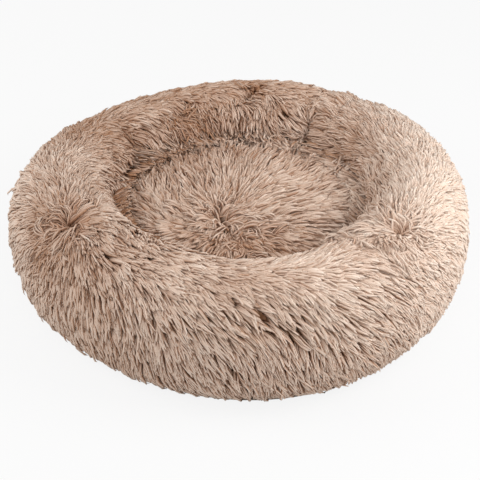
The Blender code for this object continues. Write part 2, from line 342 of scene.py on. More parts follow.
def ring_mess(points):
    """How much the locks stand up and tangle on the ring: at the whorls and in two patches at the back."""
    total = np.zeros(len(points))
    for degrees, place in (LEFT_WHORL, RIGHT_WHORL):
        x = (CREST_REACH + place) * cos(radians(degrees))
        y = (CREST_REACH + place) * sin(radians(degrees))
        off = np.hypot(points[:, 0] - x, points[:, 1] - y)
        total += np.exp(-(off / WHORL_SPREAD) ** 2)
    out = reach_of(points) - CREST_REACH
    for degrees, long, place, wide, much in BACK_TANGLES:
        along = CREST_REACH * turn_from(azimuth_of(points), degrees)
        near = np.exp(-(along / long) ** 2 - ((out - place) / wide) ** 2)
        total += much * near * step(points[:, 2], *TANGLE_BOTTOM)
    return total


# The way of the pile on the seat, and the patch of painted shade in front of its tack
SEAT_WHORL = (-0.028, -0.018)
SEAT_WHORL_END = (-0.020, -0.050)
SEAT_TANGLE = 0.8
SEAT_TANGLE_SPREAD = 1.3 * WHORL_SPREAD
SEAT_SWEEP = (-0.26, 0.97, 0.0)
SWEEP_SHARE = 0.85
SWEEP_LEFT = (0.02, 0.09)
SWEEP_BACK = (-0.18, 0.02)
SEAT_SWERVE = 0.25
SEAT_SWERVE_SIZE = 0.07
SEAT_SHADE_PATCH = (0.004, -0.098)
SEAT_SHADE_PATCH_SIZE = (0.050, 0.030)
SEAT_SHADE_PATCH_STRENGTH = 0.32


def from_seat_whorl(points):
    """From the whorl's short line, which runs forward from the tack, to each point."""
    start = np.array([*SEAT_WHORL, 0.0])
    line = np.array([*SEAT_WHORL_END, 0.0]) - start
    away = points - start
    away[:, 2] = 0.0
    share = (away @ line / (line @ line)).clip(0.0, 1.0)
    return away - share[:, None] * line


def seat_mess(points):
    """How much the locks stand up and tangle on the seat: most along the whorl's line."""
    off = np.linalg.norm(from_seat_whorl(points), axis=1)
    return SEAT_TANGLE * np.exp(-(off / SEAT_TANGLE_SPREAD) ** 2)


def seat_nap(points, normals):
    """Which way the pile lies on the seat: out from the tack, and swept to the back on the left."""
    flow = unit(from_seat_whorl(points))
    left = SWEEP_SHARE * (step(-points[:, 0], *SWEEP_LEFT) * step(points[:, 1], *SWEEP_BACK))[:, None]
    flow = flow * (1.0 - left) + left * np.array(SEAT_SWEEP)
    flow -= normals * (flow * normals).sum(1, keepdims=True)
    flow = unit(flow)
    swerve = SEAT_SWERVE * smooth_noise(points, 12, SEAT_SWERVE_SIZE)[:, None]
    return unit(flow + swerve * np.cross(normals, flow))


def no_crease(points, normals):
    """The seat has no creases."""
    return np.zeros(len(points))


def painted_seat_shade(points):
    """How much darker the pile is made just in front of the tack, as painted shade."""
    off = np.hypot((points[:, 0] - SEAT_SHADE_PATCH[0]) / SEAT_SHADE_PATCH_SIZE[0],
                   (points[:, 1] - SEAT_SHADE_PATCH[1]) / SEAT_SHADE_PATCH_SIZE[1])
    return SEAT_SHADE_PATCH_STRENGTH * np.exp(-off ** 2)


# Where locks grow and how densely. A pair of values is where something sets in and where it is full.
LOCK_LENGTH = 0.031
LOCK_AREA = 11.3e-6
PARTING_STEP = 0.006
PARTING_CROWDING = 1.5
PARTING_RANGE = (-0.25, 2.6)
FOOT_TILT = -0.75
FOOT_HEIGHT = 0.004
SEWN_INSIDE = 0.01
SEWN_ABOVE = 0.008
CREST_TILT = 0.08
DENSER_CREST = 0.35
DENSE_RIGHT = (0.05, 0.25)
DENSER_RIGHT = 0.45
DENSER_TANGLE = 0.4
DENSE_CREASE_END = (0.165, 0.190)
DENSE_CREASE_TOP = (0.085, 0.110)
SEAT_FOOT = 0.004
SEAT_FOOT_TILT = -0.2
SEAT_EDGE = (0.140, 0.158)
THINNER_TANGLE = 0.25


def on_ring(middle, normal):
    """The ring's plush: all but its flat foot and the side that is sewn against the seat."""
    reach = reach_of(middle)
    under = (normal[:, 2] < FOOT_TILT) | (middle[:, 2] < FOOT_HEIGHT)
    inside = (reach < CREST_REACH - SEWN_INSIDE) & (middle[:, 2] < SEAM_HEIGHT + SEWN_ABOVE)
    crest = np.exp(-((1.0 - normal[:, 2]) / CREST_TILT) ** 2)
    right = step(middle[:, 0], *DENSE_RIGHT)
    crease = (1.0 - step(reach, *DENSE_CREASE_END)) * (1.0 - step(middle[:, 2], *DENSE_CREASE_TOP))
    dense = 1.0 + DENSER_CREST * crest + DENSER_RIGHT * right + DENSER_TANGLE * ring_mess(middle) + crease
    return ~(under | inside) * dense


def on_seat(middle, normal):
    """The seat's plush: its top and its rounded shoulder."""
    top = (middle[:, 2] > SEAM_HEIGHT + SEAT_FOOT) & (normal[:, 2] > SEAT_FOOT_TILT)
    edge = step(reach_of(middle), *SEAT_EDGE)
    return top * (1.0 - THINNER_TANGLE * seat_mess(middle) + edge)


def surface(cushion):
    """A cushion's surface, to be searched for its nearest point."""
    return BVHTree.FromPolygons([vertex.co for vertex in cushion.data.vertices],
                                [face.vertices for face in cushion.data.polygons])


def lie_on(tree, points):
    """The nearest point of a surface and its normal, for each point."""
    on, up = np.empty_like(points), np.empty_like(points)
    for i, point in enumerate(points):
        near, normal, _, _ = tree.find_nearest(Vector(point))
        on[i], up[i] = near, normal
    return on, up


def parting(tree, points, normals, nap):
    """How fast the lie of the pile fans out at each point, in turns per metre across it."""
    flow = nap(points, normals)
    across = np.cross(normals, flow)
    sides = []
    for way in (1.0, -1.0):
        beside, up = lie_on(tree, points + across * (way * PARTING_STEP))
        sides.append((nap(beside, up) * across).sum(1))
    return (sides[0] - sides[1]) / (2.0 * PARTING_STEP)


def lock_places(plush, tree, seed):
    """Random places for locks over the faces that carry pile, closer together where they part."""
    rng = np.random.default_rng(seed)
    mesh = plush.cushion.data
    mesh.calc_loop_triangles()
    corners = np.array([vertex.co for vertex in mesh.vertices])
    triangles = np.array([triangle.vertices for triangle in mesh.loop_triangles])
    a, b, c = corners[triangles[:, 0]], corners[triangles[:, 1]], corners[triangles[:, 2]]
    cross = np.cross(b - a, c - a)
    area = np.linalg.norm(cross, axis=1) / 2.0
    normal = unit(cross)
    middle = (a + b + c) / 3.0
    fan = PARTING_CROWDING * LOCK_LENGTH * parting(tree, middle, normal, plush.nap)
    area = area * plush.keep(middle, normal) * (1.0 + fan.clip(*PARTING_RANGE))
    count = int(area.sum() / LOCK_AREA)
    # Equal steps through the summed area spread the locks far more evenly than free choice does
    mix = rng.permutation(len(area))
    summed = np.cumsum(area[mix])
    want = (np.arange(count) + rng.random(count)) * summed[-1] / count
    face = mix[np.minimum(np.searchsorted(summed, want), len(mix) - 1)]
    s, t = rng.random(count), rng.random(count)
    flip = s + t > 1.0
    s, t = np.where(flip, 1.0 - s, s), np.where(flip, 1.0 - t, t)
    return a[face] + s[:, None] * (b - a)[face] + t[:, None] * (c - a)[face]


# How locks run and stand. Turns are in radians, and what varies does so by a share of its size.
CLUMP_SIZE = 0.013
CLUMP_WAVES = 12
SWING = 0.12
SWING_CLUMP = 0.20
SWING_TANGLED = 0.75
BEND_TANGLED = 0.9
LENGTH_VARIES = 0.14
LENGTH_RANGE = (0.6, 1.4)
LAID_SHARE = 0.88
PILE_HEIGHT = 0.0102
HEIGHT_VARIES = 0.10
HEIGHT_CLUMP = 0.14
HEIGHT_TANGLED = 0.25
HEIGHT_CREASED = -0.4
RISE_POWER = 2.4
LIFT = 0.0014
LIFT_RANGE = 1.6
LIFT_POWER = 1.5
LIFT_FOOT = -0.5
LIFT_STEEP = -0.4
FOOT_END = (0.02, 0.075)
CURL = 0.0013
CURL_RANGE = 1.8
CURL_TANGLED = 2.5
TIP_BOW = 0.8
RADIUS_STEEP = -0.16
RADIUS_VARIES = 0.22
RADIUS_RANGE = (0.5, 1.6)
LOCK_RADIUS = 0.00157
LOCK_TWIST = 0.35
LOCK_WIDE = 1.25
LOCK_THICK = 1.05
FLOOR_CLEARANCE = 0.0006


def turned(flow, ups, angle):
    """Directions turned about the surface normals by an angle each."""
    return unit(flow * np.cos(angle)[:, None] + np.cross(ups, flow) * np.sin(angle)[:, None])


def run_lines(tree, nap, roots, ups, length, swing, bend, levels):
    """Lines that leave the roots and follow the nap over a cushion, each turned its own way."""
    flow = turned(nap(roots, ups), ups, swing)
    spine, normals = [roots], [ups]
    for low, high in zip(levels, levels[1:]):
        ahead, up = lie_on(tree, spine[-1] + flow * (length * (high - low) * LAID_SHARE)[:, None])
        flow = unit(flow + turned(nap(ahead, up), up, swing + bend * high))
        spine.append(ahead)
        normals.append(up)
    return np.stack(spine, 1), np.stack(normals, 1)


def stand_up(lines, ups, height, lift, curl, levels):
    """Lines raised off the cushion, steeply at the root and then lying over, and bowed sideways."""
    rise = 1.0 - (1.0 - levels) ** RISE_POWER
    bow = np.sin(levels * pi) + levels * TIP_BOW
    sideways = np.cross(ups, unit(lines[:, -1] - lines[:, 0])[:, None, :])
    lines = lines + ups * (height[:, None] * rise + lift[:, None] * levels ** LIFT_POWER)[:, :, None]
    return lines + sideways * (curl[:, None] * bow)[:, :, None]


# Ropes: long locks cling to their neighbours, most of all down a wall, and leave slits between
LOCKS_A_ROPE = 3.4
ROPE_CHOICES = 6
ROPE_STRETCH = 2.2
ROPE_WIDTH = 0.006
ROPE_PULL = 0.92
ROPE_PULL_RANGE = (0.8, 1.1)
ROPE_POWER = 0.6
LOOSENED = 0.7
LOOSE_RIGHT = 0.9
LOOSE_CREST = 0.5
LOOSE_CREST_TILT = 0.12
LOOSE_FAN = 1.6
LOOSE_FAN_START = 0.6
LOOSE_FAN_MOST = 0.9


def gather(lines, levels, loose, rng):
    """Draws neighbouring locks sideways towards one line, into long thin ropes with slits between."""
    count = len(lines)
    leaders = rng.permutation(count)[:int(count / LOCKS_A_ROPE)]
    tree = KDTree(len(leaders))
    for i, lock in enumerate(leaders):
        tree.insert(lines[lock, 0], i)
    tree.balance()
    nearby = [[found[1] for found in tree.find_n(root, ROPE_CHOICES)] for root in lines[:, 0]]
    nearby = leaders[np.array(nearby)]
    heading = unit(lines[:, -1] - lines[:, 0])
    shift = lines[nearby] - lines[:, None]
    ahead = (shift[:, :, 0] * heading[:, None]).sum(2)
    apart = np.linalg.norm(shift[:, :, 0], axis=2)
    sideways = np.sqrt((apart ** 2 - ahead ** 2).clip(0.0))
    pick = np.hypot(sideways, ahead / ROPE_STRETCH).argmin(1)
    each = np.arange(count)
    shift = shift[each, pick]
    guide = lines[nearby[each, pick]]
    along = np.gradient(guide, axis=1)
    along /= np.maximum(np.linalg.norm(along, axis=2, keepdims=True), 1e-9)
    shift -= (shift * along).sum(2, keepdims=True) * along
    pull = ROPE_PULL * rng.uniform(*ROPE_PULL_RANGE, count) * (sideways[each, pick] < ROPE_WIDTH)
    pull *= 1.0 - LOOSENED * loose.clip(0.0, 1.0)
    return lines + shift * (pull[:, None] * levels ** ROPE_POWER)[:, :, None]


# The crease between seat and ring, where the pile is crowded, tucked away and bridged by its tips
SHOULDER = (0.148, 0.170)
SHOULDER_END = 0.190
SHOULDER_TOP = (0.066, 0.100)
CREASE_CROWDING = 0.5
CREASE_START = (0.138, 0.152)
CREASE_END = 0.200
CREASE_FLOOR = 0.099
CREASE_WAVE = 0.004
CREASE_WAVE_SIZE = 0.06
CREASE_ROUGHNESS = 0.004
SEAT_DROP = 0.004
CREASE_LIFT = 0.030
TUCK_START = (0.128, 0.148)
TUCK_TOP = (0.095, 0.125)
TUCK_RAISED = 80.0


def nestle(roots):
    """How much taller the pile stands in the crease between seat and ring, where it is crowded."""
    reach = reach_of(roots)
    shoulder = step(reach, *SHOULDER) * (reach < SHOULDER_END)
    low = 1.0 - step(roots[:, 2], *SHOULDER_TOP)
    return 1.0 + CREASE_CROWDING * shoulder * low


def fill_crease(lines, levels, spill, seed):
    """Locks over the crease between seat and ring bridge it, and the ring's spill on to the seat."""
    reach = reach_of(lines)
    over = step(reach, *CREASE_START) * (reach < CREASE_END)
    rough = np.random.default_rng(seed + 7).normal(size=len(lines))
    floor = CREASE_FLOOR + CREASE_WAVE * smooth_noise(lines[:, 0], seed + 6, CREASE_WAVE_SIZE)
    floor += CREASE_ROUGHNESS * rough - SEAT_DROP * (spill == 0.0)
    raised = (floor[:, None] - lines[:, :, 2]).clip(0.0, CREASE_LIFT) * over * step(levels, 0.0, 0.5)
    outward = lines[:, :, :2] / reach[:, :, None]
    filled = lines.copy()
    filled[:, :, 2] += raised
    filled[:, :, :2] -= outward * (raised * spill)[:, :, None]
    return filled, raised.max(axis=1)


def tucked_away(roots, raised):
    """How far each lock is tucked into the crease between seat and ring, from 0 to 1."""
    reach = reach_of(roots)
    tucked = step(reach, *TUCK_START) * (reach < CREASE_END) * (1.0 - step(roots[:, 2], *TUCK_TOP))
    return np.maximum(tucked, (TUCK_RAISED * raised).clip(0.0, 1.0))


# The pile's colour. A lock's tint, its own uneven tone plus painted light and shade, runs from 0, brown
# painted shade, to 1, pale and whitened as a painted highlight. Painted light makes the pile palest at its
# right and far left, and painted shade makes it browner down its inner walls and at the back.
# The root's own brown is deepened as painted shade, down in the pile where little light reaches
PILE_ROOT = (0.29, 0.148, 0.080, 1.0)
PILE_MIDDLE = (0.72, 0.505, 0.375, 1.0)
PILE_TIP = (0.92, 0.745, 0.61, 1.0)
PILE_SHADE = (0.45, 0.285, 0.185, 1.0)
PILE_PAINTED_LIGHT = (1.06, 1.13, 1.20, 1.0)
TINT_VARIES = 0.10
TINT_CLUMP = 0.12
TINT_PATCH = 0.08
TINT_PATCH_SIZE = 0.12
PAINTED_LIGHT_RIGHT = 0.50
PAINTED_LIGHT_START = -0.05
RIGHT_SIDE = (0.10, 0.26)
PAINTED_LIGHT_FAR_RIGHT = 0.24
PAINTED_SHADE_BACK = 1.05
OUTER_LEFT = (0.22, 0.28)
PAINTED_LIGHT_OUTER_LEFT = 0.16
INNER_LEFT = (0.02, 0.15)
INNER_LEFT_END = (0.20, 0.27)
PAINTED_SHADE_INNER_LEFT = 0.48
SEAT_LEFT = (0.02, 0.10)
PAINTED_SHADE_SEAT_LEFT = 0.06
INNER_RIGHT = (0.05, 0.13)
PAINTED_SHADE_INNER_RIGHT = 0.38
PAINTED_LIGHT_RAISED = 10.0
PAINTED_SHADE_CREASED = 0.30
PAINTED_SHADE_TANGLED = 0.30
# The contrast between a lock's painted highlight on its ridge and its painted shade down its sides, and
# how far its dark root, partly painted shade, is hidden
PAINTED_RIDGE_SHADING = 0.28
PAINTED_RIDGE_SHADING_STEEP = 1.10
PAINTED_RIDGE_SHADING_RIGHT = -0.75
PAINTED_RIDGE_SHADING_TUCKED = -0.70
FADE_LEVEL = 0.12
FADE_RIGHT = 0.18
FADE_TUCKED = 0.40
RIDGE = 0.20
SIDE_SPREAD = 0.008
UV_EDGE = 0.02


def painted_light_by_place(tint, roots, ups, steep, right, spill):
    """The tint, with painted light at the right and far left and painted shade at the back and inside."""
    x = roots[:, 0]
    inner_left = step(-x, *INNER_LEFT) * (1.0 - step(-x, *INNER_LEFT_END))
    tint = tint + (PAINTED_LIGHT_RIGHT * x.clip(PAINTED_LIGHT_START) + PAINTED_LIGHT_FAR_RIGHT * right)
    tint -= PAINTED_SHADE_BACK * roots[:, 1].clip(0.0) + painted_seat_shade(roots)
    tint += PAINTED_LIGHT_OUTER_LEFT * step(-x, *OUTER_LEFT) - PAINTED_SHADE_INNER_LEFT * steep * inner_left
    tint -= PAINTED_SHADE_SEAT_LEFT * (1.0 - spill) * step(-x, *SEAT_LEFT)
    return tint - PAINTED_SHADE_INNER_RIGHT * (-ups[:, 0]).clip(0.0) * step(x, *INNER_RIGHT)


def pile_material():
    """Fine dull fibre: brown at the root, deepened as painted shade, taupe along, pale at the tip, with
    painted light and shade.
    """
    look, nodes, links, shader = new_look("long_pile", 0.75)
    shader.inputs["Specular IOR Level"].default_value = 0.02
    shader.inputs["Sheen Weight"].default_value = 0.03
    shader.inputs["Sheen Tint"].default_value = PILE_MIDDLE
    place = nodes.new("ShaderNodeUVMap")
    place.uv_map = "OFBake"
    split = nodes.new("ShaderNodeSeparateXYZ")
    length = ramp(nodes, (0.05, PILE_ROOT), (0.42, PILE_MIDDLE), (0.95, PILE_TIP))
    tone = ramp(nodes, (0.0, PILE_SHADE), (1.0, PILE_PAINTED_LIGHT))
    tinted = nodes.new("ShaderNodeMix")
    tinted.data_type = "RGBA"
    tinted.blend_type = "MULTIPLY"
    tinted.inputs["Factor"].default_value = 1.0
    links.new(place.outputs["UV"], split.inputs["Vector"])
    links.new(split.outputs["Y"], length.inputs["Fac"])
    links.new(split.outputs["X"], tone.inputs["Fac"])
    links.new(length.outputs["Color"], tinted.inputs["A"])
    links.new(tone.outputs["Color"], tinted.inputs["B"])
    links.new(tinted.outputs["Result"], shader.inputs["Base Color"])
    return look


def knit_locks(name, model, lines, ups, radius, tint, relief, fade, rng, look):
    """One mesh of locks, each the modelled lock bent along its own line."""
    shape = model.corners
    count, each = len(lines), len(shape)
    along = np.empty_like(lines)
    along[:, 1:-1] = lines[:, 2:] - lines[:, :-2]
    along[:, 0] = lines[:, 1] - lines[:, 0]
    along[:, -1] = lines[:, -1] - lines[:, -2]
    along /= np.maximum(np.linalg.norm(along, axis=2, keepdims=True), 1e-9)
    side = np.cross(along, ups)
    side /= np.maximum(np.linalg.norm(side, axis=2, keepdims=True), 1e-9)
    top = np.cross(side, along)
    level = np.array([np.abs(model.levels - z).argmin() for z in shape[:, 2]])
    twist = LOCK_TWIST * rng.normal(size=count)[:, None]
    x = shape[None, :, 0] * np.cos(twist) - shape[None, :, 1] * np.sin(twist)
    y = shape[None, :, 0] * np.sin(twist) + shape[None, :, 1] * np.cos(twist)
    width = radius[:, None]
    corners = lines[:, level] + side[:, level] * (x * width * LOCK_WIDE)[:, :, None]
    corners = corners + top[:, level] * (y * width * LOCK_THICK)[:, :, None]
    corners[:, :, 2] = np.maximum(corners[:, :, 2], FLOOR_CLEARANCE)
    loops = (np.arange(count)[:, None] * each + model.loops[None, :]).ravel()
    starts = (np.arange(count)[:, None] * len(model.loops) + model.starts[None, :]).ravel()
    mesh = bpy.data.meshes.new(name)
    mesh.vertices.add(count * each)
    mesh.vertices.foreach_set("co", corners.astype(np.float32).ravel())
    mesh.loops.add(len(loops))
    mesh.loops.foreach_set("vertex_index", loops.astype(np.int32))
    mesh.polygons.add(len(starts))
    mesh.polygons.foreach_set("loop_start", starts.astype(np.int32))
    mesh.update(calc_edges=True)
    # U is the lock's tint, with a painted highlight on its ridge and painted shade down its sides, and V
    # runs from root to tip, past the root's painted shade where it fades
    spread = (shape[model.loops, 1] - RIDGE) * relief[:, None] + shape[model.loops, 0] * SIDE_SPREAD
    u = (tint[:, None] + spread).clip(UV_EDGE, 1.0 - UV_EDGE)
    v = fade[:, None] + (1.0 - fade[:, None]) * shape[None, model.loops, 2]
    v = UV_EDGE + (1.0 - 2.0 * UV_EDGE) * v
    layer = mesh.uv_layers.new(name="OFBake")
    layer.data.foreach_set("uv", np.stack([u, v], 2).astype(np.float32).ravel())
    mesh.shade_smooth()
    mesh.materials.append(look)
    piece = bpy.data.objects.new(name, mesh)
    bpy.context.scene.collection.objects.link(piece)
    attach(piece, "root")
    return piece


def lay_pile(name, plush, sectors, seed):
    """Locks over a cushion, split into pieces by direction round the bed."""
    rng = np.random.default_rng(seed)
    tree = surface(plush.cushion)
    levels = LOCK.levels
    roots, ups = lie_on(tree, lock_places(plush, tree, seed + 1))
    count = len(roots)
    tangle = plush.mess(roots)
    crease = plush.flat(roots, ups)
    steep = (1.0 - ups[:, 2]).clip(0.0, 1.0)
    right = step(roots[:, 0], *RIGHT_SIDE)
    # Neighbours lean alike and stand alike, so the pile falls into clumps about a centimetre wide
    lean = smooth_noise(roots, seed + 2, CLUMP_SIZE, CLUMP_WAVES)
    stand = smooth_noise(roots, seed + 3, CLUMP_SIZE, CLUMP_WAVES)
    swing = SWING * rng.normal(size=count) + SWING_CLUMP * lean
    swing += SWING_TANGLED * tangle * rng.normal(size=count)
    length = LOCK_LENGTH * (1.0 + LENGTH_VARIES * rng.normal(size=count)).clip(*LENGTH_RANGE)
    height = PILE_HEIGHT * (1.0 + HEIGHT_VARIES * rng.normal(size=count) + HEIGHT_CLUMP * stand)
    height *= 1.0 + HEIGHT_TANGLED * tangle
    height *= nestle(roots)
    height *= 1.0 + HEIGHT_CREASED * crease
    bend = BEND_TANGLED * tangle * rng.normal(size=count)
    foot = 1.0 - step(roots[:, 2], *FOOT_END)
    lift = LIFT * (1.0 + LIFT_FOOT * foot) * (1.0 + LIFT_STEEP * steep)
    lift *= rng.normal(size=count).clip(-LIFT_RANGE, LIFT_RANGE)
    curl = CURL * (1.0 + CURL_TANGLED * tangle) * rng.normal(size=count).clip(-CURL_RANGE, CURL_RANGE)
    lines, up = run_lines(tree, plush.nap, roots, ups, length, swing, bend, levels)
    lines = stand_up(lines, up, height, lift, curl, levels)
    fan = LOOSE_FAN * LOCK_LENGTH * parting(tree, roots, ups, plush.nap) - LOOSE_FAN_START
    crest = plush.spill * np.exp(-(steep / LOOSE_CREST_TILT) ** 2)
    loose = tangle + LOOSE_RIGHT * right + fan.clip(0.0, LOOSE_FAN_MOST) + LOOSE_CREST * crest
    lines = gather(lines, levels, loose, rng)
    lines, raised = fill_crease(lines, levels, plush.spill, seed)
    radius = LOCK_RADIUS * (1.0 + RADIUS_STEEP * steep)
    radius *= (1.0 + RADIUS_VARIES * rng.normal(size=count)).clip(*RADIUS_RANGE)
    tint = plush.tone + TINT_VARIES * rng.normal(size=count) + TINT_CLUMP * stand
    tint += TINT_PATCH * smooth_noise(roots, seed + 5, TINT_PATCH_SIZE)
    # Painted light where the bed is lit, and painted shade at its back and inside it
    tint = painted_light_by_place(tint, roots, ups, steep, right, plush.spill)
    # Painted light on the locks raised over the crease, and painted shade in the creases and tangles
    tint += PAINTED_LIGHT_RAISED * raised - PAINTED_SHADE_CREASED * crease - PAINTED_SHADE_TANGLED * tangle * (1.0 - right)
    tucked = tucked_away(roots, raised)
    # Painted highlight on each ridge and painted shade down its sides, strongest down steep walls; the fade
    # hides the root's painted shade on flat tops, at the right and in the crease
    relief = (PAINTED_RIDGE_SHADING + PAINTED_RIDGE_SHADING_STEEP * steep) * (1.0 + PAINTED_RIDGE_SHADING_RIGHT * right) * (1.0 + PAINTED_RIDGE_SHADING_TUCKED * tucked)
    fade = np.maximum(FADE_LEVEL * (1.0 - steep) + FADE_RIGHT * right, FADE_TUCKED * tucked)
    share = azimuth_of(roots) % (2.0 * pi) / (2.0 * pi) * sectors
    sector = share.astype(int).clip(0, sectors - 1)
    pieces = []
    for number in range(sectors):
        pick = sector == number
        pieces.append(knit_locks(f"{name}_{number + 1}", LOCK, lines[pick], up[pick], radius[pick],
                                 tint[pick], relief[pick], fade[pick], rng, PILE))
    return pieces


LOCK = model_lock(LOCK_CUTS, LOCK_WIDTHS)
PILE = pile_material()
draw_in(ring_cushion)
ring_plush = Plush(ring_cushion, on_ring, ring_nap, ring_mess, creased_share, spill=1.0, tone=0.50)
for piece in lay_pile("ring_pile", ring_plush, 10, 100):
    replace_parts(piece, "bolster_cover_front", "bolster_cover_back")
seat_plush = Plush(seat_cushion, on_seat, seat_nap, seat_mess, no_crease, spill=0.0, tone=0.45)
for piece in lay_pile("seat_pile", seat_plush, 3, 200):
    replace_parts(piece, "seat_cover")


# Standing tufts
# Where the nap parts, at the tack and at the two whorls, longer curly tufts stand up out of the
# pile and fall over each way. They are the same fibre, a few locks to a tuft.
TUFT_CUTS = (0.10, 0.22, 0.34, 0.46, 0.58, 0.70, 0.82, 0.92)
TUFT_WIDTHS = (0.70, 0.90, 1.00, 1.00, 0.97, 0.92, 0.84, 0.70, 0.45, 0.0)
TUFT_LOCKS = 6
TUFT_WIDTH = 0.0018
TUFT_LENGTH = 0.043
TUFT_LAID_SHARE = 0.85
TUFT_HEIGHT = 0.0150
TUFT_ARCH = 2.1
TUFT_RADIUS = 0.00135
TUFT_SWING = 0.50
TUFT_BEND = 0.8
# How unlike the tufts are, and the locks in one tuft
TUFT_LENGTHS = (0.65, 1.15)
TUFT_HEIGHTS = (0.60, 1.20)
TUFT_RADII = (0.75, 1.25)
IN_TUFT_LENGTHS = (0.85, 1.10)
IN_TUFT_HEIGHTS = (0.85, 1.15)
IN_TUFT_SWING = 0.12
IN_TUFT_BEND = 0.25
TUFT_TONE = 0.54
TUFT_TINT_VARIES = 0.12
TUFT_RIGHT = (0.05, 0.15)
# Painted highlight on a tuft's ridges and painted shade down its sides, and how far its root's painted shade
# is hidden at the right
TUFT_PAINTED_RIDGE_SHADING = 0.40
TUFT_PAINTED_RIDGE_SHADING_RIGHT = -0.6
TUFT_FADE_RIGHT = 0.30
# Each group: the line that it is rooted along, the spread about it, how many tufts and how curly
SEAT_TUFTS = ("seat_tufts", (-0.030, -0.014, 0.10), (0.006, -0.105, 0.10), 0.020, 90, 1.0)
RING_TUFTS = (("left_whorl_tufts", (-0.196, -0.132, 0.17), (-0.214, -0.148, 0.16), 0.018, 26, 1.3),
              ("right_whorl_tufts", (0.196, -0.148, 0.17), (0.150, -0.156, 0.15), 0.016, 36, 0.5),
              ("right_edge_tufts", (0.186, -0.134, 0.17), (0.172, -0.116, 0.17), 0.009, 22, 0.35))


def lay_tufts(group, plush, seed):
    """A group of curly tufts on a cushion."""
    name, start, end, spread, count, curl = group
    rng = np.random.default_rng(seed)
    tree = surface(plush.cushion)
    levels = TUFT.levels
    share = rng.random(count)[:, None]
    middles = np.array(start) * (1.0 - share) + np.array(end) * share
    middles[:, :2] += spread * rng.normal(size=(count, 2))
    tuft = np.repeat(np.arange(count), TUFT_LOCKS)
    total = len(tuft)
    wanted = middles[tuft]
    wanted[:, :2] += TUFT_WIDTH * rng.normal(size=(total, 2))
    roots, ups = lie_on(tree, wanted)
    length = TUFT_LENGTH * rng.uniform(*TUFT_LENGTHS, count)[tuft] * rng.uniform(*IN_TUFT_LENGTHS, total)
    swing = TUFT_SWING * curl * rng.normal(size=count)[tuft] + IN_TUFT_SWING * rng.normal(size=total)
    bend = TUFT_BEND * curl * rng.normal(size=count)[tuft] + IN_TUFT_BEND * rng.normal(size=total)
    lines, up = run_lines(tree, plush.nap, roots, ups, length * TUFT_LAID_SHARE, swing, bend, levels)
    height = TUFT_HEIGHT * rng.uniform(*TUFT_HEIGHTS, count)[tuft] * rng.uniform(*IN_TUFT_HEIGHTS, total)
    lines = lines + up * (height[:, None] * np.sin(levels * TUFT_ARCH))[:, :, None]
    radius = TUFT_RADIUS * rng.uniform(*TUFT_RADII, total)
    tint = TUFT_TONE + TUFT_TINT_VARIES * rng.normal(size=total)
    # Painted light towards the right, and painted shade in front of the seat's tack
    tint += PAINTED_LIGHT_RIGHT * roots[:, 0]
    tint -= painted_seat_shade(roots)
    right = step(roots[:, 0], *TUFT_RIGHT)
    # Painted highlight on the ridges and painted shade down the sides, weaker at the right, where the root's
    # painted shade is hidden
    relief = TUFT_PAINTED_RIDGE_SHADING * (1.0 + TUFT_PAINTED_RIDGE_SHADING_RIGHT * right)
    fade = TUFT_FADE_RIGHT * right
    return knit_locks(name, TUFT, lines, up, radius, tint, relief, fade, rng, PILE)


TUFT = model_lock(TUFT_CUTS, TUFT_WIDTHS)
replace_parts(lay_tufts(SEAT_TUFTS, seat_plush, 300), "seat_cover")
for number, group in enumerate(RING_TUFTS):
    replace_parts(lay_tufts(group, ring_plush, 301 + number), "bolster_cover_front")


# Base, tapes, linings and tack
# The bed stands on a round of dark coated oxford cloth with small rubber dots moulded on it, so
# that it doesn't slide, overlocked to the foot of the ring. Twill tape covers each seam, plain
# cotton lines the cushions, and a waxed thread with a knot at each end draws the seat down.
CLOTH_LIFT = 0.0005
DOT_SIDES = 8
DOT_SPACING = 0.012
DOT_FIELD = 0.30
DOT_RADIUS = 0.0017
DOT_TAPER = 0.6
DOT_MARGIN = 0.014
DOT_DARK = (0.060, 0.045, 0.036, 1.0)
DOT_DUSTY = (0.115, 0.092, 0.076, 1.0)
STITCH_CUTS = (0.2, 0.4, 0.6, 0.8)
STITCH_WIDTHS = (0.8, 1.0, 1.0, 1.0, 0.8, 0.0)
STITCH_COUNT = 380
STITCH_REACH = 0.0050
STITCH_RADIUS = 0.00042
STITCH_BULGE = 0.0006
STITCH_FLOOR = 0.0001
STITCH_START = 0.4
STITCH_CLIMB = 2.6
STITCH_LEAN = 0.008
STITCH_FACING = 1.2
# How far apart the bands of a wave texture are at a scale of 1
WAVE_PITCH = 0.314


